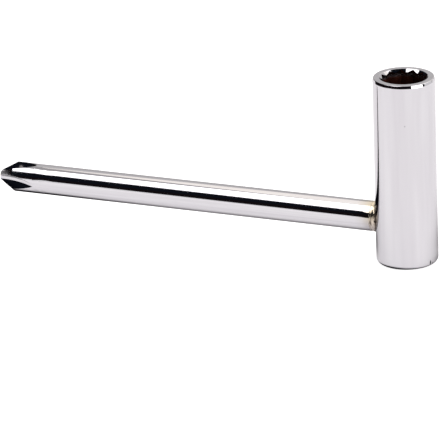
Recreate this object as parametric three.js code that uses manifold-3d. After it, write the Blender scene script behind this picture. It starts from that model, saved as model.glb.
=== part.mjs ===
// Truss rod wrench: an upright barrel with a double hexagon socket in its mouth, a round handle rod
// whose far end is a cross driver tip, and the ring of braze that joins the rod to the barrel.
// Millimetres, +Z up along the barrel, the rod pointing along -X, origin at the middle of the foot.

import * as THREE from "three";
import { mergeVertices } from "three/addons/utils/BufferGeometryUtils.js";
import Module from "manifold-3d";

// Barrel, outside
const barrelDiameter = 12.2;
const barrelLength = 37.9;
const mouthTaperWidth = 0.2; // radial, steep taper round the mouth
const mouthTaperLength = 0.55;
const footRadius = 1; // rounded edge round the foot

// Barrel, inside: socket for an 8 mm hexagon nut, then a drilled bore that clears the end of the truss rod
const socketAcrossFlats = 8.1;
const socketDepth = 14;
const socketClocking = -3; // turn of the first corner from +X
const leadInMargin = 0.08; // how far the lead-in cone reaches outside the socket's corners
const leadInAngle = 45; // from the barrel's axis
const boreDiameter = 8;
const boreDepth = 21; // from the mouth to where the drill point starts
const drillPointAngle = 118;

// Handle rod
const rodDiameter = 6;
const rodReach = 87.05; // from the barrel's axis to the flat end of the driver tip
const rodHeight = 8.45; // from the foot to the rod's axis
const spigotDiameter = 4.4; // turned down end that sits in the barrel's cross hole
const spigotDepth = 4.6; // how far it enters the barrel's wall

// Cross driver tip on the rod, size 2
const tipEndDiameter = 2.1;
const tipFlankAngle = 31; // cone of the four wings, from the rod's axis
const fluteLength = 7.95; // from the tip's end to where a flute runs out
const fluteAngle = 90; // between the two walls of a flute
const fluteRootDiameter = 2; // across two opposite flute roots at the tip's end
const fluteRootWidth = 0.6; // flat along the bottom of a flute
const fluteCount = 4;
const fluteClocking = 9; // turn of the first flute from straight up, towards the front

// Braze
const brazeLength = 0.7; // from the barrel's side to the rod's shoulder
const brazeFlare = 0.15; // how far it swells beyond the rod where it meets the barrel
const brazeClearance = 0.3; // capillary gap round the spigot and along the barrel's side

// Fineness of round shapes, and how far a cutting shape runs past what it cuts
const roundSegments = 96;
const arcSegments = 6;
const cutOverrun = 2;

const barrelRadius = barrelDiameter / 2;
const rodRadius = rodDiameter / 2;
const spigotRadius = spigotDiameter / 2;
const shoulderReach = barrelRadius + brazeLength;
const socketCornerRadius = socketAcrossFlats / 2 / Math.cos(Math.PI / 6);
const socketNotchRadius = socketAcrossFlats / 2 / Math.cos(Math.PI / 12);

const wasm = await Module();
wasm.setup();

// A closed geometry as a solid that can be joined and cut
function solidOf(geometry) {
  const bare = geometry.clone();
  bare.deleteAttribute("normal");
  bare.deleteAttribute("uv");
  const merged = mergeVertices(bare);
  const corners = merged.index.array;
  const kept = [];
  for (let i = 0; i < corners.length; i += 3) {
    const [a, b, c] = [corners[i], corners[i + 1], corners[i + 2]];
    if (a !== b && b !== c && c !== a) kept.push(a, b, c);
  }
  return new wasm.Manifold(new wasm.Mesh({
    numProp: 3,
    vertProperties: new Float32Array(merged.attributes.position.array),
    triVerts: new Uint32Array(kept),
  }));
}

function geometryOf(solid) {
  const mesh = solid.getMesh();
  const geometry = new THREE.BufferGeometry();
  geometry.setAttribute("position", new THREE.BufferAttribute(mesh.vertProperties, 3));
  geometry.setIndex(new THREE.BufferAttribute(mesh.triVerts, 1));
  geometry.computeVertexNormals();
  return geometry;
}

// A profile of [radius, height] points turned about the barrel's axis
function turnedUpright(profile) {
  const points = profile.map(([radius, height]) => new THREE.Vector2(radius, height));
  return solidOf(new THREE.LatheGeometry(points, roundSegments).rotateX(Math.PI / 2));
}

// A profile of [radius, distance from the barrel's axis] points turned about the rod's axis
function turnedAlongRod(profile) {
  const points = profile.map(([radius, reach]) => new THREE.Vector2(radius, reach));
  const geometry = new THREE.LatheGeometry(points, roundSegments).rotateZ(Math.PI / 2);
  return solidOf(geometry.translate(0, 0, rodHeight));
}

// The twelve pointed outline of two hexagons laid over each other
function socketOutline() {
  const points = [];
  for (let i = 0; i < 24; i += 1) {
    const radius = i % 2 === 0 ? socketCornerRadius : socketNotchRadius;
    const angle = THREE.MathUtils.degToRad(socketClocking) + (i * Math.PI) / 12;
    points.push(new THREE.Vector2(radius * Math.cos(angle), radius * Math.sin(angle)));
  }
  return new THREE.Shape(points);
}

function socketBroach() {
  const depth = socketDepth + cutOverrun;
  const geometry = new THREE.ExtrudeGeometry(socketOutline(), { depth, bevelEnabled: false });
  return solidOf(geometry.translate(0, 0, barrelLength - socketDepth));
}

// The cone that guides the nut in: widest at the mouth, narrowing to the bore
function leadIn() {
  const slope = Math.tan(THREE.MathUtils.degToRad(leadInAngle));
  const mouthRadius = socketCornerRadius + leadInMargin;
  const boreRadius = boreDiameter / 2;
  const bottom = barrelLength - (mouthRadius - boreRadius) / slope;
  const top = barrelLength + cutOverrun;
  const topRadius = mouthRadius + cutOverrun * slope;
  return turnedUpright([[0, bottom], [boreRadius, bottom], [topRadius, top], [0, top]]);
}

function drilledBore() {
  const radius = boreDiameter / 2;
  const bottom = barrelLength - boreDepth;
  const pointLength = radius / Math.tan(THREE.MathUtils.degToRad(drillPointAngle / 2));
  const top = barrelLength + cutOverrun;
  return turnedUpright([[0, bottom - pointLength], [radius, bottom], [radius, top], [0, top]]);
}

// The blind hole across the barrel that takes the rod's spigot
function crossHole() {
  const radius = spigotRadius + brazeClearance;
  const inner = barrelRadius - spigotDepth - brazeClearance;
  const outer = barrelRadius + cutOverrun;
  return turnedAlongRod([[0, inner], [radius, inner], [radius, outer], [0, outer]]);
}

function socketBarrel() {
  const foot = [];
  for (let i = 0; i <= arcSegments; i += 1) {
    const angle = (i / arcSegments) * (Math.PI / 2);
    const inset = footRadius * (1 - Math.sin(angle));
    foot.push([barrelRadius - inset, footRadius * (1 - Math.cos(angle))]);
  }
  const body = turnedUpright([
    [0, 0],
    ...foot,
    [barrelRadius, barrelLength - mouthTaperLength],
    [barrelRadius - mouthTaperWidth, barrelLength],
    [0, barrelLength],
  ]);
  return body.subtract(socketBroach()).subtract(leadIn()).subtract(drilledBore()).subtract(crossHole());
}

// One flute of the driver tip: the groove that a disc cutter with a blunt V edge leaves, deepest at the tip's
// end and running out on the rod's surface
function flute(turn) {
  const rootRadius = fluteRootDiameter / 2;
  const rise = rodRadius - rootRadius;
  const cutterRadius = (fluteLength ** 2 + rise ** 2) / (2 * rise);
  const edgeHeight = rodDiameter;
  const rootHalf = fluteRootWidth / 2;
  const halfWidth = rootHalf + edgeHeight * Math.tan(THREE.MathUtils.degToRad(fluteAngle / 2));
  const section = [
    [0, -halfWidth],
    [cutterRadius - edgeHeight, -halfWidth],
    [cutterRadius, -rootHalf],
    [cutterRadius, rootHalf],
    [cutterRadius - edgeHeight, halfWidth],
    [0, halfWidth],
  ];
  const points = section.map(([radius, side]) => new THREE.Vector2(radius, side));
  const cutter = new THREE.LatheGeometry(points, roundSegments);
  cutter.translate(-rodReach, 0, rootRadius + cutterRadius).rotateX(turn).translate(0, 0, rodHeight);
  return solidOf(cutter);
}

function handleRod() {
  const endRadius = tipEndDiameter / 2;
  const wingLength = (rodRadius - endRadius) / Math.tan(THREE.MathUtils.degToRad(tipFlankAngle));
  let rod = turnedAlongRod([
    [0, barrelRadius - spigotDepth],
    [spigotRadius, barrelRadius - spigotDepth],
    [spigotRadius, shoulderReach],
    [rodRadius, shoulderReach],
    [rodRadius, rodReach - wingLength],
    [endRadius, rodReach],
    [0, rodReach],
  ]);
  for (let i = 0; i < fluteCount; i += 1) {
    const turn = THREE.MathUtils.degToRad(fluteClocking) + (i * 2 * Math.PI) / fluteCount;
    rod = rod.subtract(flute(turn));
  }
  return rod;
}

// The braze round the spigot: flush with the rod at its shoulder, flaring where it meets the barrel
function brazeRing() {
  const innerRadius = spigotRadius + brazeClearance;
  const outside = [];
  for (let i = 0; i <= arcSegments; i += 1) {
    const along = i / arcSegments;
    outside.push([rodRadius + brazeFlare * (1 - along) ** 2, barrelRadius + along * brazeLength]);
  }
  const ring = turnedAlongRod([
    [innerRadius, 0],
    [rodRadius + brazeFlare, 0],
    ...outside,
    [innerRadius, shoulderReach],
    [innerRadius, 0],
  ]);
  const sideRadius = barrelRadius + brazeClearance;
  const barrelSide = turnedUpright([[0, 0], [sideRadius, 0], [sideRadius, barrelLength], [0, barrelLength]]);
  return ring.subtract(barrelSide);
}

const chrome = { color: 0xdddbde, metalness: 1, roughness: 0.08 };
const brass = { color: 0xb5924f, metalness: 1, roughness: 0.4 };

const wrench = new THREE.Group();
for (const [name, solid, finish] of [
  ["socket_barrel", socketBarrel(), chrome],
  ["handle_rod", handleRod(), chrome],
  ["braze_ring", brazeRing(), brass],
]) {
  const mesh = new THREE.Mesh(geometryOf(solid), new THREE.MeshStandardMaterial(finish));
  mesh.name = name;
  wrench.add(mesh);
}

export default wrench;
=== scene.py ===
import math

import bmesh
import bpy
import numpy as np
from mathutils import Matrix, Vector


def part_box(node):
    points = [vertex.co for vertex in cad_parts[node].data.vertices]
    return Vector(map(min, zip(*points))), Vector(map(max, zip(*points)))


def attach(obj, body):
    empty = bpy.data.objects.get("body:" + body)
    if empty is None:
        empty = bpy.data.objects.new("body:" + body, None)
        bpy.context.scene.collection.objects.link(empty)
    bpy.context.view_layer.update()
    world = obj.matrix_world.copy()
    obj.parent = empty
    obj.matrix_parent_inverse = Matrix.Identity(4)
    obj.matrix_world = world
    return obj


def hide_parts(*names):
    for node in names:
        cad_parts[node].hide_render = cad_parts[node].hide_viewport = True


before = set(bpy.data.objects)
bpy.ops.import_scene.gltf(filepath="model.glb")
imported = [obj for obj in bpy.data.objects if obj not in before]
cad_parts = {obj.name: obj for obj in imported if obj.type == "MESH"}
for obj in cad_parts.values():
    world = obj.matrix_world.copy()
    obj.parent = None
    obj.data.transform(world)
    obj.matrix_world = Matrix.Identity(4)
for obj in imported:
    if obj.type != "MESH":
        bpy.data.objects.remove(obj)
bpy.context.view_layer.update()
mm = 0.001
noiseLow, noiseHigh = 0.3, 0.7    # nearly all of a noise texture's values lie between these
print("frame loaded:", ", ".join(sorted(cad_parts)))

# main sizes in mm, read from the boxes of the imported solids
barrelLow, barrelHigh = [np.array(corner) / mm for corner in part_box("socket_barrel")]
rodLow, rodHigh = [np.array(corner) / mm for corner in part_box("handle_rod")]
ringLow = np.array(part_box("braze_ring")[0]) / mm
barrelRadius = (barrelHigh[1] - barrelLow[1]) / 2
barrelLength = barrelHigh[2]
rodRadius = (rodHigh[1] - rodLow[1]) / 2
rodHeight = (rodHigh[2] + rodLow[2]) / 2
rodReach = -rodLow[0]
spigotReach = -rodHigh[0]
shoulderReach = -ringLow[0]


# sRGB hex to linear: a straight line near black, a 2.4 power above it
def linearColour(hexText):
    values = np.array([int(hexText[i:i + 2], 16) for i in (1, 3, 5)]) / 255
    linear = np.where(values <= 0.04045, values / 12.92, ((values + 0.055) / 1.055) ** 2.4)
    return (*linear.tolist(), 1.0)


# adds a node, sets its properties, and links or sets each input that is named
def addNode(tree, kind, inputs=None, **settings):
    node = tree.nodes.new(kind)
    for name, value in settings.items():
        setattr(node, name, value)
    for name, value in (inputs or {}).items():
        if isinstance(value, bpy.types.NodeSocket):
            tree.links.new(value, node.inputs[name])
        else:
            node.inputs[name].default_value = value
    return node


def newMaterial(name):
    material = bpy.data.materials.new(name)
    material.use_nodes = True
    material.node_tree.nodes.clear()
    return material, material.node_tree


# 0 as far as start, 1 from end onwards and a straight line between them, where start may be the larger
def ramp(value, start, end):
    return np.clip((value - start) / (end - start), 0, 1)


# a share slowed at both its ends: three times its square less twice its cube
def eased(share):
    return share * share * (3 - 2 * share)


# 1 in the middle, falling away on both sides: e to the minus square of the distance over the width
def bell(distance, width):
    return np.exp(-(distance / width) ** 2)


# degrees from a direction to each angle, folded to lie between -180 and 180
def turnFrom(direction, angle):
    return np.degrees(np.angle(np.exp(1j * (angle - math.radians(direction)))))


# rows x columns of points in mm become quads: columns close on themselves, rows that shrink to a point merge.
# Marks are values at the points, which the materials read; sharpAngle is in degrees, mergeDistance in metres
def gridPiece(name, points, marks, sharpAngle=40, mergeDistance=1e-8):
    rows, columns = points.shape[:2]
    index = np.arange(rows * columns).reshape(rows, columns)
    ahead = np.roll(index, -1, axis=1)
    quads = np.stack([index[:-1], ahead[:-1], ahead[1:], index[1:]], axis=-1).reshape(-1, 4)
    mesh = bpy.data.meshes.new(name)
    mesh.from_pydata((points.reshape(-1, 3) * mm).tolist(), [], quads.tolist())
    for label, values in marks.items():
        attribute = mesh.attributes.new(label, "FLOAT", "POINT")
        everywhere = np.broadcast_to(values, (rows, columns)).astype(np.float32)
        attribute.data.foreach_set("value", everywhere.ravel())
    work = bmesh.new()
    work.from_mesh(mesh)
    bmesh.ops.remove_doubles(work, verts=work.verts, dist=mergeDistance)
    bmesh.ops.dissolve_degenerate(work, edges=work.edges, dist=mergeDistance)
    bmesh.ops.recalc_face_normals(work, faces=work.faces)
    work.to_mesh(mesh)
    work.free()
    mesh.polygons.foreach_set("use_smooth", np.ones(len(mesh.polygons), dtype=bool))
    mesh.set_sharp_from_angle(angle=math.radians(sharpAngle))
    piece = bpy.data.objects.new(name, mesh)
    bpy.context.scene.collection.objects.link(piece)
    print(f"{name}: {len(mesh.vertices)} points, {len(mesh.polygons)} faces")
    return piece


# a polyline of (radius, height) corners whose inner corners are rounded: each gives way to an arc that
# touches both its lines, and straight stretches are cut into steps no longer than maxStep
def roundedProfile(corners, radii, arcSteps=8, maxStep=1.0):
    corners = np.array(corners, float)
    out = [corners[:1]]
    for before, corner, after, radius in zip(corners[:-2], corners[1:-1], corners[2:], radii):
        inward = (before - corner) / np.linalg.norm(before - corner)
        onward = (after - corner) / np.linalg.norm(after - corner)
        half = math.acos(np.clip(inward @ onward, -1, 1)) / 2
        middle = (inward + onward) / np.linalg.norm(inward + onward)
        centre = corner + middle * radius / math.sin(half)
        sweep = np.linspace(-1, 1, arcSteps + 1)[:, None] * (math.pi / 2 - half)
        side = (onward - inward) / np.linalg.norm(onward - inward)
        out.append(centre - radius * (np.cos(sweep) * middle - np.sin(sweep) * side))
    out.append(corners[-1:])
    line = np.concatenate(out)
    dense = [line[:1]]
    for start, end in zip(line[:-1], line[1:]):
        steps = max(1, math.ceil(np.linalg.norm(end - start) / maxStep))
        dense.append(start + (end - start) * np.linspace(0, 1, steps + 1)[1:, None])
    return np.concatenate(dense)


def finishPiece(piece, material, node):
    piece.data.materials.append(material)
    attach(piece, "root")
    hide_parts(node)


# Chrome
chrome = {
    "tint": "#c2c0c3",            # chromium
    "tintDeep": "#bab7bb",        # in bands where the plate is thinner
    "paintedShade": "#1e1e22",            # painted shade: dark reflection of the shadow under and beside the tool; nicks take it too
    # reflection at about 80 degrees where the plate is clear, where it has haze and painted shade, and in the
    # painted shade
    "grazing": 0.86, "hazeAndShadeGrazing": 0.45, "paintedShadeGrazing": 0.1,
    "roughness": 0.035,
    "smudgeRoughness": 0.03,      # added in patches by handling
    "patchSize": 6.0,             # mm across a patch
    "lineSpacing": 0.35,          # mm between polishing lines, coarser than real so that they show at all
    "lineStretch": 60.0,          # how much longer a line is than it is wide
    "lineHeight": 0.00004,        # mm
}


# chrome plate over polished steel gives the eye a hard, slightly cool mirror. Faint polishing lines and
# broader bands of tint, of a width and a length in mm, run along lineAxis
def chromeNodes(tree, lineAxis, bandWidth, bandLength):
    coords = addNode(tree, "ShaderNodeTexCoord").outputs["Object"]
    patches = addNode(tree, "ShaderNodeTexNoise", {
        "Vector": coords, "Scale": 1 / (chrome["patchSize"] * mm), "Detail": 3.0, "Roughness": 0.6})
    roughness = addNode(tree, "ShaderNodeMath", {
        0: patches.outputs["Fac"], 1: chrome["smudgeRoughness"], 2: chrome["roughness"]},
        operation="MULTIPLY_ADD")
    fine = 1 / (chrome["lineSpacing"] * mm)
    lineScale = [fine / chrome["lineStretch"] if axis == lineAxis else fine for axis in "xyz"]
    bandScale = [1 / ((bandLength if axis == lineAxis else bandWidth) * mm) for axis in "xyz"]
    alongLines = addNode(tree, "ShaderNodeMapping", {"Vector": coords, "Scale": lineScale}).outputs["Vector"]
    alongBands = addNode(tree, "ShaderNodeMapping", {"Vector": coords, "Scale": bandScale}).outputs["Vector"]
    lines = addNode(tree, "ShaderNodeTexNoise", {"Vector": alongLines, "Scale": 1.0, "Detail": 2.0})
    bands = addNode(tree, "ShaderNodeTexNoise", {"Vector": alongBands, "Scale": 1.0, "Detail": 2.0})
    depth = addNode(tree, "ShaderNodeMapRange", {
        "Value": bands.outputs["Fac"], "From Min": noiseLow, "From Max": noiseHigh})
    colour = addNode(tree, "ShaderNodeMix", {
        "Factor": depth.outputs["Result"], "A": linearColour(chrome["tint"]),
        "B": linearColour(chrome["tintDeep"])}, data_type="RGBA")
    bump = addNode(tree, "ShaderNodeBump", {
        "Height": lines.outputs["Fac"], "Strength": 1.0, "Distance": chrome["lineHeight"] * mm})
    return coords, colour.outputs["Result"], roughness.outputs["Value"], bump.outputs["Normal"]


# where a piece is marked with painted shade its colour is painted dark, and darker still at a low angle;
# where it is marked with painted shade and haze it reflects less at a low angle only
def paintedShadeNodes(tree, colour):
    paintedShade = addNode(tree, "ShaderNodeAttribute", attribute_name="paintedShade").outputs["Fac"]
    hazeAndShade = addNode(tree, "ShaderNodeAttribute", attribute_name="hazeAndShade").outputs["Fac"]
    clear, hazeAndShadeTint, dark = [[chrome[key]] * 3 + [1.0] for key in ("grazing", "hazeAndShadeGrazing", "paintedShadeGrazing")]
    base = addNode(tree, "ShaderNodeMix", {
        "Factor": paintedShade, "A": colour, "B": linearColour(chrome["paintedShade"])}, data_type="RGBA")
    plate = addNode(tree, "ShaderNodeMix", {"Factor": hazeAndShade, "A": clear, "B": hazeAndShadeTint}, data_type="RGBA")
    grazing = addNode(tree, "ShaderNodeMix", {
        "Factor": paintedShade, "A": plate.outputs["Result"], "B": dark}, data_type="RGBA")
    return base.outputs["Result"], grazing.outputs["Result"]


# Socket barrel: lengths in mm, angles in degrees, turns counted from +X
barrel = {
    "footRadius": 1.0, "mouthTaperWidth": 0.2, "mouthTaperLength": 0.55,
    "taperRounding": 0.25, "rimRounding": 0.12, "leadInRounding": 0.05,
    "acrossFlats": 8.1, "socketDepth": 14.0, "clocking": -3.0, "leadInMargin": 0.08,
    "boreDiameter": 8.0, "boreDepth": 21.0, "drillPointAngle": 118.0,
    "cornerSharpness": 0.994,     # 1 leaves the socket's corners knife sharp
    "columnsPerFlat": 20, "leadInRows": 8, "wallRows": 28, "boreRows": 4,
    "wallCrowding": 1.5,          # above 1, the socket wall's rows stand closer near the mouth
    "platedFrom": 0.5, "platedTo": 1.4,    # depths in the mouth between which the plate fades out
    # painted shade round the foot's edge: where it starts and where it is full, the place where it is
    # darkest and how far that spreads, by what shares both come sooner there, and how dark it is elsewhere
    "footShadeFrom": 20.0, "footShadeTo": 45.0, "footShadeTurn": 256.0, "footShadeSpread": 44.0,
    "footSoonerFrom": 0.6, "footSoonerTo": 0.45, "footShadeRest": 0.75,
    # painted shade in the corner under the rod: how dark, how far to each side of the rod, and from what
    # height to what
    "cornerShade": 0.38, "cornerReach": 45.0, "cornerEase": 10.0,
    "cornerTop": 8.0, "cornerTopEase": 1.5, "cornerFoot": 1.5, "cornerFootEase": 2.0,
    # painted shade low on the side away from the rod, and once more just above its foot
    "sideShade": 0.24, "sideTop": 8.0, "sideFootShade": 0.45, "sideFootTop": 2.2,
    "sideTurn": 5.0, "sideSpread": 28.0,
    # painted shade on the low edges: heights where it starts and where it is full, how much of it the foot
    # has and where that passes into the full amount, then the rim's haze and the distances below the rim
    # where that starts and is full
    "edgeShadeTop": 16.0, "edgeShadeFull": 5.0, "edgeShadeFoot": 0.35, "edgeShadeFootFrom": 1.0, "edgeShadeFootTo": 4.0,
    "rimHaze": 0.35, "rimHazeFrom": 0.3, "rimHazeFull": 0.1,
    # small knocks in the plate: turn, height, half width, half height and depth of shade
    "nicks": [(-22.1, 0.95, 0.22, 0.6, 1.0), (-15.5, 0.7, 0.2, 0.3, 0.8), (-69.0, 29.8, 0.16, 0.2, 0.3)],
    "nickCore": 0.6,              # share of a nick's size that has its full shade
    "bandWidth": 2.5, "bandLength": 40.0,
    "steel": "#6a382c", "steelDeep": "#2f1a16", "steelRoughness": 0.48, "grimeSize": 1.2,
}


# radius of a double hexagon: half the size across flats over the cosine of the angle to the flat's middle,
# where that angle is 30 degrees less the angle to the nearest corner, whose folding is slightly rounded
def socketRadius(angle):
    phase = 12 * (angle - math.radians(barrel["clocking"]))
    fromCorner = math.radians(15) / math.pi * np.arccos(barrel["cornerSharpness"] * np.cos(phase))
    return barrel["acrossFlats"] / 2 / np.cos(math.radians(30) - fromCorner)


# one closed skin from the middle of the foot, up the side, over the rim, down the socket and the drilled bore
def barrelSurface():
    columns = 24 * barrel["columnsPerFlat"]
    angle = np.arange(columns) / columns * 2 * math.pi + math.radians(barrel["clocking"])
    mouth = barrel["acrossFlats"] / 2 / math.cos(math.pi / 6) + barrel["leadInMargin"]
    leadInRun = 0.5  # only gives the rounding at the lead-in its direction, and is then taken off again
    outside = roundedProfile(
        [(0, 0), (barrelRadius, 0), (barrelRadius, barrelLength - barrel["mouthTaperLength"]),
         (barrelRadius - barrel["mouthTaperWidth"], barrelLength), (mouth, barrelLength),
         (mouth - leadInRun, barrelLength - leadInRun)],
        [barrel["footRadius"], barrel["taperRounding"], barrel["rimRounding"], barrel["leadInRounding"]])
    outside = outside[:-1]
    startRadius, startHeight = outside[-1]
    # lead-in cone at 45 degrees, from the rim's edge down to where each column meets the socket's wall
    wall = np.minimum(socketRadius(angle), startRadius)
    meet = startHeight - (startRadius - wall)
    share = np.linspace(0, 1, barrel["leadInRows"] + 1)[1:, None]
    leadInRadius = startRadius + (wall - startRadius) * share
    leadInHeight = startHeight + (meet - startHeight) * share
    # socket wall down to its floor, then the drilled bore and its conical end
    socketFloor = barrelLength - barrel["socketDepth"]
    share = np.linspace(0, 1, barrel["wallRows"] + 1)[1:, None] ** barrel["wallCrowding"]
    wallHeight = meet + (socketFloor - meet) * share
    bore = barrel["boreDiameter"] / 2
    boreEnd = barrelLength - barrel["boreDepth"]
    drillPoint = boreEnd - bore / math.tan(math.radians(barrel["drillPointAngle"] / 2))
    boreRadius = [bore] * barrel["boreRows"] + [bore / 2, 0]
    boreHeight = [*np.linspace(socketFloor, boreEnd, barrel["boreRows"]),
                  (boreEnd + drillPoint) / 2, drillPoint]
    radius = np.vstack([
        np.repeat(outside[:, :1], columns, axis=1), leadInRadius,
        np.repeat(wall[None], barrel["wallRows"], axis=0), np.repeat(np.c_[boreRadius], columns, axis=1)])
    height = np.vstack([
        np.repeat(outside[:, 1:], columns, axis=1), leadInHeight, wallHeight,
        np.repeat(np.c_[boreHeight], columns, axis=1)])
    points = np.stack([radius * np.cos(angle), radius * np.sin(angle), height], axis=-1)
    inside = np.arange(len(radius))[:, None] > len(outside)
    bare = np.where(inside, ramp(barrelLength - height, barrel["platedFrom"], barrel["platedTo"]), 0)
    # painted shade round the foot's edge, darkest on the side below the rod
    under = np.degrees(np.arcsin(np.clip(1 - height / barrel["footRadius"], 0, 1)))
    worst = bell(turnFrom(barrel["footShadeTurn"], angle), barrel["footShadeSpread"])
    start = barrel["footShadeFrom"] * (1 - barrel["footSoonerFrom"] * worst)
    end = barrel["footShadeTo"] * (1 - barrel["footSoonerTo"] * worst)
    foot = eased(ramp(under, start, end)) * (barrel["footShadeRest"] + (1 - barrel["footShadeRest"]) * worst)
    # painted shade in the corner under the rod, and low on the side away from it, too
    fromRod = np.abs(turnFrom(180, angle))
    corner = ramp(fromRod, barrel["cornerReach"], barrel["cornerReach"] - barrel["cornerEase"])
    corner = corner * ramp(height, barrel["cornerTop"], barrel["cornerTop"] - barrel["cornerTopEase"])
    corner = corner * ramp(height, barrel["cornerFoot"], barrel["cornerFoot"] + barrel["cornerFootEase"])
    low = barrel["sideShade"] * ramp(height, barrel["sideTop"], 0)
    lowest = barrel["sideFootShade"] * ramp(height, barrel["sideFootTop"], 0)
    side = bell(turnFrom(barrel["sideTurn"], angle), barrel["sideSpread"]) * (low + lowest)
    paintedShade = np.maximum(foot, np.maximum(barrel["cornerShade"] * corner, side))
    # painted shade at a low angle over the lower part, less of it at the foot, and a little haze on the rim
    hazeAndShade = ramp(height, barrel["edgeShadeTop"], barrel["edgeShadeFull"])
    aboveFoot = ramp(height, barrel["edgeShadeFootFrom"], barrel["edgeShadeFootTo"])
    hazeAndShade = hazeAndShade * (barrel["edgeShadeFoot"] + (1 - barrel["edgeShadeFoot"]) * aboveFoot)
    onRim = ramp(barrelLength - height, barrel["rimHazeFrom"], barrel["rimHazeFull"])
    hazeAndShade = np.maximum(hazeAndShade, barrel["rimHaze"] * onRim)
    return points, {"bare": bare, "paintedShade": paintedShade, "hazeAndShade": hazeAndShade}


# chrome plated steel outside, and bare broached steel in the socket: dark, rough and brown with old oil
def barrelMaterial():
    material, tree = newMaterial("chromePlatedSteel")
    coords, colour, roughness, normal = chromeNodes(tree, "z", barrel["bandWidth"], barrel["bandLength"])
    bare = addNode(tree, "ShaderNodeAttribute", attribute_name="bare").outputs["Fac"]
    grime = addNode(tree, "ShaderNodeTexNoise", {
        "Vector": coords, "Scale": 1 / (barrel["grimeSize"] * mm), "Detail": 5.0})
    steel = addNode(tree, "ShaderNodeMix", {
        "Factor": grime.outputs["Fac"], "A": linearColour(barrel["steel"]),
        "B": linearColour(barrel["steelDeep"])}, data_type="RGBA")
    base = addNode(tree, "ShaderNodeMix", {
        "Factor": bare, "A": colour, "B": steel.outputs["Result"]}, data_type="RGBA").outputs["Result"]
    # a nick is the inside of a small upright ellipsoid, found by the scaled distance from its middle
    for turn, height, halfWidth, halfHeight, shade in barrel["nicks"]:
        angle = math.radians(turn)
        middle = Vector((barrelRadius * math.cos(angle), barrelRadius * math.sin(angle), height)) * mm
        size = Vector((halfWidth, halfWidth, halfHeight)) * mm
        offset = addNode(tree, "ShaderNodeVectorMath", {0: coords, 1: middle}, operation="SUBTRACT")
        scaled = addNode(tree, "ShaderNodeVectorMath", {
            0: offset.outputs["Vector"], 1: size}, operation="DIVIDE")
        away = addNode(tree, "ShaderNodeVectorMath", {0: scaled.outputs["Vector"]}, operation="LENGTH")
        nick = addNode(tree, "ShaderNodeMapRange", {
            "Value": away.outputs["Value"], "From Min": 1.0, "From Max": barrel["nickCore"], "To Max": shade})
        base = addNode(tree, "ShaderNodeMix", {
            "Factor": nick.outputs["Result"], "A": base, "B": linearColour(chrome["paintedShade"])},
            data_type="RGBA").outputs["Result"]
    # painted shade round the foot, in the corner under the rod and low on the far side, and dim low edges
    base, grazing = paintedShadeNodes(tree, base)
    rough = addNode(tree, "ShaderNodeMix", {"Factor": bare, "A": roughness, "B": barrel["steelRoughness"]})
    shader = addNode(tree, "ShaderNodeBsdfPrincipled", {
        "Base Color": base, "Metallic": 1.0, "Roughness": rough.outputs["Result"],
        "Specular Tint": grazing, "Normal": normal})
    addNode(tree, "ShaderNodeOutputMaterial", {"Surface": shader.outputs["BSDF"]})
    return material


barrelPiece = gridPiece("socketBarrel", *barrelSurface())
finishPiece(barrelPiece, barrelMaterial(), "socket_barrel")

# Handle rod with its cross driver tip: lengths in mm, angles in degrees
rod = {
    "tipEndDiameter": 2.1, "tipFlankAngle": 31.0, "endRounding": 0.1, "coneRounding": 0.5,
    "fluteCount": 4, "fluteLength": 7.95, "fluteAngle": 90.0, "fluteRootDiameter": 2.0, "fluteRootWidth": 0.6,
    "fluteClocking": 9.0,         # turn of the first flute from straight up, towards the front
    "edgeSoftness": 0.012,        # how far plating and wear round the wings' edges
    "spigotDiameter": 4.4, "shoulderRounding": 0.06, "spigotFillet": 0.05, "spigotRounding": 0.2,
    "rootColumns": 4, "wallColumns": 14, "wingColumns": 10,
    "wallLeast": 0.8, "wallMost": 38.0,    # least width of a flute's wall, and the furthest place of its edge
    "evenOver": 3.0,              # past the flutes, over which the columns become evenly spaced
    "underShadeFrom": 29.0, "underShadeTo": 47.0,      # below the horizontal, where the painted shade underneath starts and is full
    "underShadeFade": 24.0, "underShadeRest": 0.44,    # how far from the tip the painted shade fades, and what is left of it
    "hazeAndShade": 0.65,                 # haze alone, all over the rod
    # heat tint beside the braze: its length, how fast it fades and how much slower above, straw above and
    # grey below, and the heights from the rod's axis between which one passes into the other
    "tintLength": 3.4, "tintFade": 2.0, "tintFadeAbove": 0.7, "tintAbove": "#b2a897", "tintBelow": "#9e9a9d",
    "torchFrom": -1.5, "torchTo": 1.0,
    "wornLength": 2.5, "wornRoughness": 0.43,  # how far screws have scuffed the wings from the tip's end
    # painted brown reflection in the upper flute: its middle, along, back and up from the axis, and its size
    "paintedReflection": (4.1, 0.38, 1.95), "paintedReflectionSize": (0.38, 0.25, 0.25),
    "paintedReflectionColour": "#7d716b", "paintedReflectionRoughness": 0.5,
    "bandWidth": 0.4, "bandLength": 25.0,
}

# a flute's root rises along the arc of a disc cutter, whose radius follows from the flute's length and rise
fluteRoot = rod["fluteRootDiameter"] / 2
fluteRise = rodRadius - fluteRoot
cutterRadius = (rod["fluteLength"] ** 2 + fluteRise ** 2) / (2 * fluteRise)
halfSector = math.pi / rod["fluteCount"]


# distance from the rod's axis to the groove that a disc cutter with a blunt V edge leaves: halving finds
# where a ray from the axis first enters the cutter, at an angle off the flute's middle and a place along
def fluteRadius(offAngle, along, halvings=36):
    slope = 1 / math.tan(math.radians(rod["fluteAngle"] / 2))
    offAngle, along = np.broadcast_arrays(offAngle, along)
    near = np.zeros(offAngle.shape)
    far = np.full(offAngle.shape, rodRadius * 1.2)  # a little past the rod's surface
    for halving in range(halvings):
        middle = (near + far) / 2
        side = np.maximum(np.abs(middle * np.sin(offAngle)) - rod["fluteRootWidth"] / 2, 0)
        fromCutter = np.hypot(fluteRoot + cutterRadius - middle * np.cos(offAngle), along)
        outsideCutter = fromCutter > cutterRadius - side * slope
        near = np.where(outsideCutter, middle, near)
        far = np.where(outsideCutter, far, middle)
    return near


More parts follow.
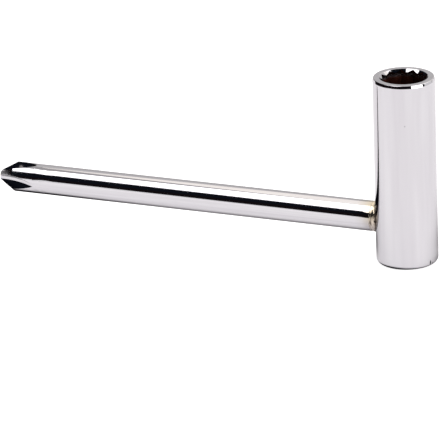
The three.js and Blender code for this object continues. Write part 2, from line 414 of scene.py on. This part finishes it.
# one closed skin from the tip's end, along the rod, over the shoulder and the spigot to its hidden end.
# Columns follow the edges of each flute's root and walls, then ease to even spacing past the run out
def rodSurface(scanSteps=180):
    endRadius = rod["tipEndDiameter"] / 2
    coneLength = (rodRadius - endRadius) / math.tan(math.radians(rod["tipFlankAngle"]))
    spigot = rod["spigotDiameter"] / 2
    shoulder = rodReach - shoulderReach
    spigotEnd = rodReach - spigotReach
    tipProfile = roundedProfile(
        [(0, 0), (endRadius, 0), (rodRadius, coneLength), (rodRadius, rod["fluteLength"])],
        [rod["endRounding"], rod["coneRounding"]], maxStep=0.1)
    restProfile = roundedProfile(
        [(rodRadius, rod["fluteLength"]), (rodRadius, shoulder), (spigot, shoulder), (spigot, spigotEnd),
         (0, spigotEnd)],
        [rod["shoulderRounding"], rod["spigotFillet"], rod["spigotRounding"]], maxStep=1.5)
    profile = np.concatenate([tipProfile, restProfile[1:]])
    outer, along = profile[:, :1], profile[:, 1:]
    # where the flute's flat root ends and where its wall meets the outside, as angles off its middle
    scan = np.linspace(0, halfSector, scanSteps + 1)[None]
    cut = fluteRadius(scan, along) < outer
    wallEnd = cut.sum(axis=1, keepdims=True) * halfSector / scanSteps
    inReach = np.minimum(along, rod["fluteLength"])
    rootHeight = fluteRoot + cutterRadius - np.sqrt(cutterRadius ** 2 - inReach ** 2)
    rootEnd = np.arctan(rod["fluteRootWidth"] / 2 / rootHeight)
    wallEnd = np.clip(wallEnd, rootEnd + math.radians(rod["wallLeast"]), math.radians(rod["wallMost"]))
    ease = eased(ramp(along, rod["fluteLength"], rod["fluteLength"] + rod["evenOver"]))
    # half a sector's columns: even across the root, closer at both ends of the wall and at the wing's edge
    counts = [rod["rootColumns"], rod["wallColumns"], rod["wingColumns"]]
    edges = np.cumsum([0] + counts) / sum(counts) * halfSector
    rootEnd = rootEnd + (edges[1] - rootEnd) * ease
    wallEnd = wallEnd + (edges[2] - wallEnd) * ease
    acrossRoot = np.arange(counts[0]) / counts[0]
    acrossWall = np.arange(counts[1]) / counts[1]
    acrossWing = np.arange(counts[2] + 1) / counts[2]
    bothEnds = (1 - np.cos(acrossWall * math.pi)) / 2
    oneEnd = 1 - np.cos(acrossWing * math.pi / 2)
    bothEnds = bothEnds + (acrossWall - bothEnds) * ease
    oneEnd = oneEnd + (acrossWing - oneEnd) * ease
    half = np.hstack([
        rootEnd * acrossRoot, rootEnd + (wallEnd - rootEnd) * bothEnds,
        wallEnd + (halfSector - wallEnd) * oneEnd])
    sector = np.hstack([-half[:, :0:-1], half[:, :-1]])
    starts = np.arange(rod["fluteCount"]) * 2 * halfSector + math.radians(rod["fluteClocking"])
    offAngle = np.tile(sector, rod["fluteCount"])
    angle = offAngle + np.repeat(starts, sector.shape[1])[None]
    # the smaller of the outside and the groove, blended over a short distance so that edges are rounded
    groove = fluteRadius(offAngle, along)
    soft = rod["edgeSoftness"]
    blend = np.clip(0.5 + (groove - outer) / (4 * soft), 0, 1)
    radius = groove + (outer - groove) * blend - 2 * soft * blend * (1 - blend)
    radius = np.where(along < rod["fluteLength"], np.minimum(radius, outer), outer)
    radius = np.where(outer < soft, outer, radius)
    fromAxis = np.stack([
        np.broadcast_to(along, radius.shape), -radius * np.sin(angle), radius * np.cos(angle)], axis=-1)
    points = fromAxis + np.array([-rodReach, 0, rodHeight])
    # painted shade underneath, darkest near the tip
    below = np.degrees(np.arcsin(np.clip(-np.cos(angle), -1, 1)))
    nearTip = bell(along, rod["underShadeFade"])
    paintedShade = eased(ramp(below, rod["underShadeFrom"], rod["underShadeTo"]))
    paintedShade = paintedShade * (rod["underShadeRest"] + (1 - rod["underShadeRest"]) * nearTip)
    fade = rod["tintFade"] - rod["tintFadeAbove"] * np.cos(angle)
    torchTint = np.clip(1 - (shoulder - along) / rod["tintLength"], 0, 1) ** fade
    worn = blend * bell(along, rod["wornLength"])
    # a painted reflection: a matt brown spot in the upper flute
    paintedReflection = bell(np.linalg.norm((fromAxis - rod["paintedReflection"]) / rod["paintedReflectionSize"], axis=-1), 1)
    return points, {"torchTint": torchTint, "paintedShade": paintedShade, "hazeAndShade": rod["hazeAndShade"], "worn": worn, "paintedReflection": paintedReflection}


# one colour below the rod's middle passing into another above it, as the torch played on the upper side
def gradedColour(tree, coords, below, above):
    height = addNode(tree, "ShaderNodeSeparateXYZ", {"Vector": coords}).outputs["Z"]
    upper = addNode(tree, "ShaderNodeMapRange", {
        "Value": height, "From Min": (rodHeight + rod["torchFrom"]) * mm,
        "From Max": (rodHeight + rod["torchTo"]) * mm})
    return addNode(tree, "ShaderNodeMix", {
        "Factor": upper.outputs["Result"], "A": linearColour(below), "B": linearColour(above)},
        data_type="RGBA").outputs["Result"]


# chrome plated drawn rod: a mirror with straw and grey tints beside the braze, a satin grey where the
# wings are scuffed, painted shade underneath and a matt brown painted reflection in the upper flute
def rodMaterial():
    material, tree = newMaterial("chromePlatedRod")
    coords, colour, roughness, normal = chromeNodes(tree, "x", rod["bandWidth"], rod["bandLength"])
    torchTint, worn, paintedReflection = [addNode(tree, "ShaderNodeAttribute", attribute_name=label).outputs["Fac"]
                               for label in ("torchTint", "worn", "paintedReflection")]
    tint = gradedColour(tree, coords, rod["tintBelow"], rod["tintAbove"])
    tinted = addNode(tree, "ShaderNodeMix", {"Factor": torchTint, "A": colour, "B": tint}, data_type="RGBA")
    plate, grazing = paintedShadeNodes(tree, tinted.outputs["Result"])
    # the painted reflection in the upper flute is matt brown
    base = addNode(tree, "ShaderNodeMix", {
        "Factor": paintedReflection, "A": plate, "B": linearColour(rod["paintedReflectionColour"])}, data_type="RGBA")
    scuffed = addNode(tree, "ShaderNodeMath", {
        0: worn, 1: rod["wornRoughness"], 2: roughness}, operation="MULTIPLY_ADD")
    rough = addNode(tree, "ShaderNodeMix", {
        "Factor": paintedReflection, "A": scuffed.outputs["Value"], "B": rod["paintedReflectionRoughness"]})
    metal = addNode(tree, "ShaderNodeMath", {0: 1.0, 1: paintedReflection}, operation="SUBTRACT")
    shader = addNode(tree, "ShaderNodeBsdfPrincipled", {
        "Base Color": base.outputs["Result"], "Metallic": metal.outputs["Value"],
        "Roughness": rough.outputs["Result"], "Specular Tint": grazing, "Normal": normal})
    addNode(tree, "ShaderNodeOutputMaterial", {"Surface": shader.outputs["BSDF"]})
    return material


rodPiece = gridPiece("handleRod", *rodSurface())
finishPiece(rodPiece, rodMaterial(), "handle_rod")

# Braze ring: lengths in mm, and places on the fillet as shares of the way from the shoulder to the barrel
braze = {
    "innerRadius": 2.5, "flare": 0.12,
    "sink": 0.02,                 # how far the fillet's edge reaches into the plate
    "columns": 288, "rows": 40, "sleeveRows": 5,
    "ripple": 0.06,               # unevenness of the flowed metal
    "ripples": [(5, 7, 0.0), (9, -11, 1.3), (14, 0, 2.1)],  # waves round the ring, slant and start in radians
    "groove": 0.05, "groovePlace": 0.82, "grooveWidth": 0.08,  # undercut beside the barrel
    "grooveWaves": 3, "grooveStart": 0.6, "grooveUneven": 0.4,
    "pitDepth": 0.28, "pitWidth": 0.1375,
    "pits": [(0.0, 0.86), (-51.0, 0.88)],  # degrees up from the front, and place
    "saddleDrop": 0.6,            # about how much longer the fillet is at the front than on top
    # stain in the corner beside the barrel, how far the ripples change it, and stain in the pits
    "cornerPlace": 0.96, "cornerWidth": 0.1, "cornerStain": 1.1, "cornerUneven": 0.35, "pitStain": 0.9,
    "bands": [(0.17, 0.27), (0.74, 0.21)], "bandWidth": 0.08,  # darker rings low on the fillet: place, stain
    "cleanAbove": 0.35,           # how much less stain the upper side has
    "streakSize": (0.3, 0.8, 0.8), "streakStain": 1.6, "streakHeight": 0.02, "streakStrength": 0.6,
    "stainFrom": 0.6, "stainTo": 1.3,      # sum of stain and streaks where metal passes into stain
    "metalBelow": "#b3aaa5", "metalAbove": "#c8bba6", "stain": "#463b34",
    "roughness": 0.16, "stainRoughness": 0.5,
}


# a fillet lofted from a circle on the rod's shoulder to the saddle curve on the barrel's side, which is the
# root of the barrel's radius squared less the distance to the front squared, with ripples, an undercut near
# the barrel and pits, closed by a sleeve round the spigot
def brazeSurface():
    lift = np.arange(braze["columns"]) / braze["columns"] * 2 * math.pi
    share = np.linspace(0, 1, braze["rows"])[:, None]
    waves = [np.sin(count * lift + slant * share + start) for count, slant, start in braze["ripples"]]
    ripple = sum(waves) / len(waves)
    swell = braze["flare"] * share ** 4 + braze["ripple"] * ripple * share ** 2 * (1 - share)
    uneven = 1 - braze["grooveUneven"] * (1 - np.sin(braze["grooveWaves"] * lift + braze["grooveStart"]))
    dip = braze["groove"] * bell(share - braze["groovePlace"], braze["grooveWidth"]) * uneven
    filletLength = shoulderReach - barrelRadius + braze["saddleDrop"]
    hollow = np.zeros_like(swell)
    for pitLift, pitPlace in braze["pits"]:
        around = np.radians(turnFrom(pitLift, lift)) * rodRadius
        hollow = hollow + bell(np.hypot(around, (share - pitPlace) * filletLength), braze["pitWidth"])
    radius = rodRadius + swell - dip - braze["pitDepth"] * np.clip(hollow, 0, 1)
    sideRadius = barrelRadius - braze["sink"]
    saddle = np.sqrt(sideRadius ** 2 - (radius * np.cos(lift)) ** 2)
    reach = shoulderReach + (saddle - shoulderReach) * share
    # sleeve: back along the spigot from the barrel to the shoulder
    innerSaddle = np.sqrt(sideRadius ** 2 - (braze["innerRadius"] * np.cos(lift)) ** 2)
    back = np.linspace(0, 1, braze["sleeveRows"])[:, None]
    sleeve = np.full((braze["sleeveRows"], braze["columns"]), braze["innerRadius"])
    stain = bell(share - braze["cornerPlace"], braze["cornerWidth"])
    stain = stain * (braze["cornerStain"] + braze["cornerUneven"] * ripple)
    stain = np.clip(stain + braze["pitStain"] * hollow, 0, 1)
    for bandPlace, bandStain in braze["bands"]:
        stain = stain + bandStain * bell(share - bandPlace, braze["bandWidth"]) * (1 - np.sin(lift))
    stain = stain - braze["cleanAbove"] * np.clip(np.sin(lift), 0, 1)
    stain = np.vstack([stain, np.ones_like(sleeve), np.ones_like(stain[:1])])
    radius = np.vstack([radius, sleeve, radius[:1]])
    reach = np.vstack([reach, innerSaddle + (shoulderReach - innerSaddle) * back, reach[:1]])
    points = np.stack([-reach, -radius * np.cos(lift), rodHeight + radius * np.sin(lift)], axis=-1)
    return points, {"stain": stain}


# brass braze, as flowed and thinly plated: pale metal, straw above where the torch played and greyer below,
# left brown and rougher where flux sat in the corner
def brazeMaterial():
    material, tree = newMaterial("tintedBraze")
    coords = addNode(tree, "ShaderNodeTexCoord").outputs["Object"]
    stain = addNode(tree, "ShaderNodeAttribute", attribute_name="stain").outputs["Fac"]
    streakScale = [1 / (size * mm) for size in braze["streakSize"]]
    across = addNode(tree, "ShaderNodeMapping", {"Vector": coords, "Scale": streakScale}).outputs["Vector"]
    streaks = addNode(tree, "ShaderNodeTexNoise", {
        "Vector": across, "Scale": 1.0, "Detail": 3.0}).outputs["Fac"]
    amount = addNode(tree, "ShaderNodeMath", {
        0: streaks, 1: braze["streakStain"], 2: stain}, operation="MULTIPLY_ADD")
    stained = addNode(tree, "ShaderNodeMapRange", {
        "Value": amount.outputs["Value"], "From Min": braze["stainFrom"],
        "From Max": braze["stainTo"]}).outputs["Result"]
    metal = gradedColour(tree, coords, braze["metalBelow"], braze["metalAbove"])
    base = addNode(tree, "ShaderNodeMix", {
        "Factor": stained, "A": metal, "B": linearColour(braze["stain"])}, data_type="RGBA")
    rough = addNode(tree, "ShaderNodeMix", {
        "Factor": stained, "A": braze["roughness"], "B": braze["stainRoughness"]})
    bump = addNode(tree, "ShaderNodeBump", {
        "Height": streaks, "Strength": braze["streakStrength"], "Distance": braze["streakHeight"] * mm})
    shader = addNode(tree, "ShaderNodeBsdfPrincipled", {
        "Base Color": base.outputs["Result"], "Metallic": 1.0, "Roughness": rough.outputs["Result"],
        "Normal": bump.outputs["Normal"]})
    addNode(tree, "ShaderNodeOutputMaterial", {"Surface": shader.outputs["BSDF"]})
    return material


brazePiece = gridPiece("brazeRing", *brazeSurface())
finishPiece(brazePiece, brazeMaterial(), "braze_ring")

# Camera
camera = {
    "azimuth": 23.3353, "elevation": 20.4323, "roll": -2.1002,  # degrees; azimuth 0 looks along +Y
    "distance": 920.0, "target": (-39.611, 0.0, 3.9377),        # mm
    "pixelsPerMm": 5.0385, "imageWidth": 440, "sensor": 36.0,
}


# the camera's own axes: right, up and back, turned by azimuth and elevation and then rolled
def placeCamera():
    azimuth, elevation, roll = [math.radians(camera[key]) for key in ("azimuth", "elevation", "roll")]
    back = Vector((math.sin(azimuth) * math.cos(elevation), -math.cos(azimuth) * math.cos(elevation),
                   math.sin(elevation)))
    level = Vector((math.cos(azimuth), math.sin(azimuth), 0))
    upright = back.cross(level)
    right = math.cos(roll) * level + math.sin(roll) * upright
    up = math.cos(roll) * upright - math.sin(roll) * level
    data = bpy.data.cameras.new("photoCamera")
    data.sensor_fit = "HORIZONTAL"
    data.sensor_width = camera["sensor"]
    data.lens = camera["sensor"] * camera["pixelsPerMm"] * camera["distance"] / camera["imageWidth"]
    data.clip_start = 0.01
    data.clip_end = 100
    item = bpy.data.objects.new("photoCamera", data)
    place = (Vector(camera["target"]) + camera["distance"] * back) * mm
    item.matrix_world = Matrix((
        (right.x, up.x, back.x, place.x), (right.y, up.y, back.y, place.y),
        (right.z, up.z, back.z, place.z), (0, 0, 0, 1)))
    bpy.context.scene.collection.objects.link(item)
    bpy.context.scene.camera = item


placeCamera()
print("camera placed")

# Floor: lengths in mm
floor = {
    "halfSize": 6000.0, "colour": "#c4c3c4",
    "glowColour": "#efeeef", "glow": 0.98,  # light from below
    "cloudSize": 28.0, "cloudDepth": 0.015,
}


# a board of opal acrylic, lit from below: even and nearly white, with the faintest of shadows and mottle
def makeFloor():
    half = floor["halfSize"] * mm
    mesh = bpy.data.meshes.new("opalBoard")
    corners = [(-half, -half, 0), (half, -half, 0), (half, half, 0), (-half, half, 0)]
    mesh.from_pydata(corners, [], [(0, 1, 2, 3)])
    item = bpy.data.objects.new("opalBoard", mesh)
    bpy.context.scene.collection.objects.link(item)
    material, tree = newMaterial("opalAcrylic")
    coords = addNode(tree, "ShaderNodeTexCoord").outputs["Object"]
    clouds = addNode(tree, "ShaderNodeTexNoise", {
        "Vector": coords, "Scale": 1 / (floor["cloudSize"] * mm), "Detail": 1.0})
    shade = addNode(tree, "ShaderNodeMapRange", {
        "Value": clouds.outputs["Fac"], "From Min": noiseLow, "From Max": noiseHigh,
        "To Min": 1 - floor["cloudDepth"], "To Max": 1.0})
    colour = addNode(tree, "ShaderNodeMix", {
        "Factor": shade.outputs["Result"], "A": (0, 0, 0, 1), "B": linearColour(floor["colour"])},
        data_type="RGBA")
    shader = addNode(tree, "ShaderNodeBsdfPrincipled", {
        "Base Color": colour.outputs["Result"], "Roughness": 1.0, "Specular IOR Level": 0.0,
        "Emission Color": linearColour(floor["glowColour"]), "Emission Strength": floor["glow"]})
    addNode(tree, "ShaderNodeOutputMaterial", {"Surface": shader.outputs["BSDF"]})
    mesh.materials.append(material)


makeFloor()
print("floor laid")

# Studio: a dark room with softboxes, each with its colour, strength, softness and edges. An edge (right,
# away, up, offset) keeps the directions whose product with (right, away, up), seen from behind the camera,
# is above offset
studio = {
    "room": ("#14171f", 1.0),
    "panels": [
        ("roomFoot", "#191315", 1.0, 0.08, [(0, 0, -1, -0.4)]),
        ("whiteSweep", "#ffffff", 1.3, 0.02, [(0, 0, -1, -0.012)]),
        ("sweepLeft", "#ffffff", 1.3, 0.02, [(-2, 0, -1, 1.333), (0, -1, 0, 0.4), (0, 0, -1, -0.17)]),
        ("backWall", "#f2f1f0", 1.04, 0.06, [(1, 0.4, 0, 0), (-0.5, 1, 0, 0), (0, 0, -1, -0.8)]),
        ("rightWall", "#ffffff", 2.5, 0.02, [(0.174, 0.985, 0, 0), (0.5, -1, 0, 0), (0, 0, -1, -0.8)]),
        ("rightWallFoot", "#ffffff", 1.1, 0.04, [(0.174, 0.985, 0, 0), (0.5, -1, 0, 0), (0, 0, -1, -0.3)]),
        ("ceiling", "#f2f1f0", 0.66, 0.02, [
            (-1, 0, -0.1, 0), (1, 0, 0.55, 0), (0, 1, -0.2, 0), (0, -1, 0.9, 0)]),
        ("backBox", "#fffbf4", 1.72, 0.012, [
            (0, 1, -0.3, 0), (3.2, -1, 1.56, 0), (1, -0.08, 0.306, 0), (-1, 0, 1.3, 0)]),
        ("roofBox", "#ffffff", 3.5, 0.02, [
            (1, -0.342, 0.612, 0.014), (-1, 0, -0.17, 0), (0, 1, 0.9, 0), (0, -1, 0.258, 0)]),
        ("roofEnd", "#ffffff", 3.5, 0.02, [
            (1, 0, 0.93, 0), (-1, 0, -0.5, 0), (0, 1, 0.1, 0), (0, -1, 0.258, 0)]),
        ("ceilingLamp", "#f2f1f0", 0.8, 0.01, [(0, 0, 1, 0.965)]),
        ("keyBox", "#ffffff", 5.0, 0.02, [
            (0.899, 0.438, 0, 0), (-0.342, -0.94, 0, 0), (0, 0, 1, 0.06), (0, 0, -1, -0.6)]),
    ],
}


# each panel is laid over what is behind it, by the product of its edges, each eased over its softness
def makeStudio():
    world = bpy.data.worlds.new("studio")
    world.use_nodes = True
    tree = world.node_tree
    tree.nodes.clear()
    coords = addNode(tree, "ShaderNodeTexCoord").outputs["Generated"]
    turned = addNode(tree, "ShaderNodeMapping", {
        "Vector": coords, "Rotation": (0, 0, -math.radians(camera["azimuth"]))}).outputs["Vector"]
    hexText, strength = studio["room"]
    light = [channel * strength for channel in linearColour(hexText)[:3]] + [1.0]
    for name, hexText, strength, softness, edges in studio["panels"]:
        mask = 1.0
        for right, away, up, offset in edges:
            reach = addNode(tree, "ShaderNodeVectorMath", {
                0: turned, 1: (right, away, up)}, operation="DOT_PRODUCT").outputs["Value"]
            edge = addNode(tree, "ShaderNodeMapRange", {
                "Value": reach, "From Min": offset - softness, "From Max": offset + softness},
                interpolation_type="SMOOTHSTEP").outputs["Result"]
            mask = addNode(tree, "ShaderNodeMath", {0: edge, 1: mask}, operation="MULTIPLY").outputs["Value"]
        colour = [channel * strength for channel in linearColour(hexText)[:3]] + [1.0]
        light = addNode(tree, "ShaderNodeMix", {
            "Factor": mask, "A": light, "B": colour}, data_type="RGBA", label=name).outputs["Result"]
    background = addNode(tree, "ShaderNodeBackground", {"Color": light, "Strength": 1.0})
    addNode(tree, "ShaderNodeOutputWorld", {"Surface": background.outputs["Background"]})
    bpy.context.scene.world = world


makeStudio()
bpy.context.scene.view_settings.view_transform = "Standard"
print("studio lit")
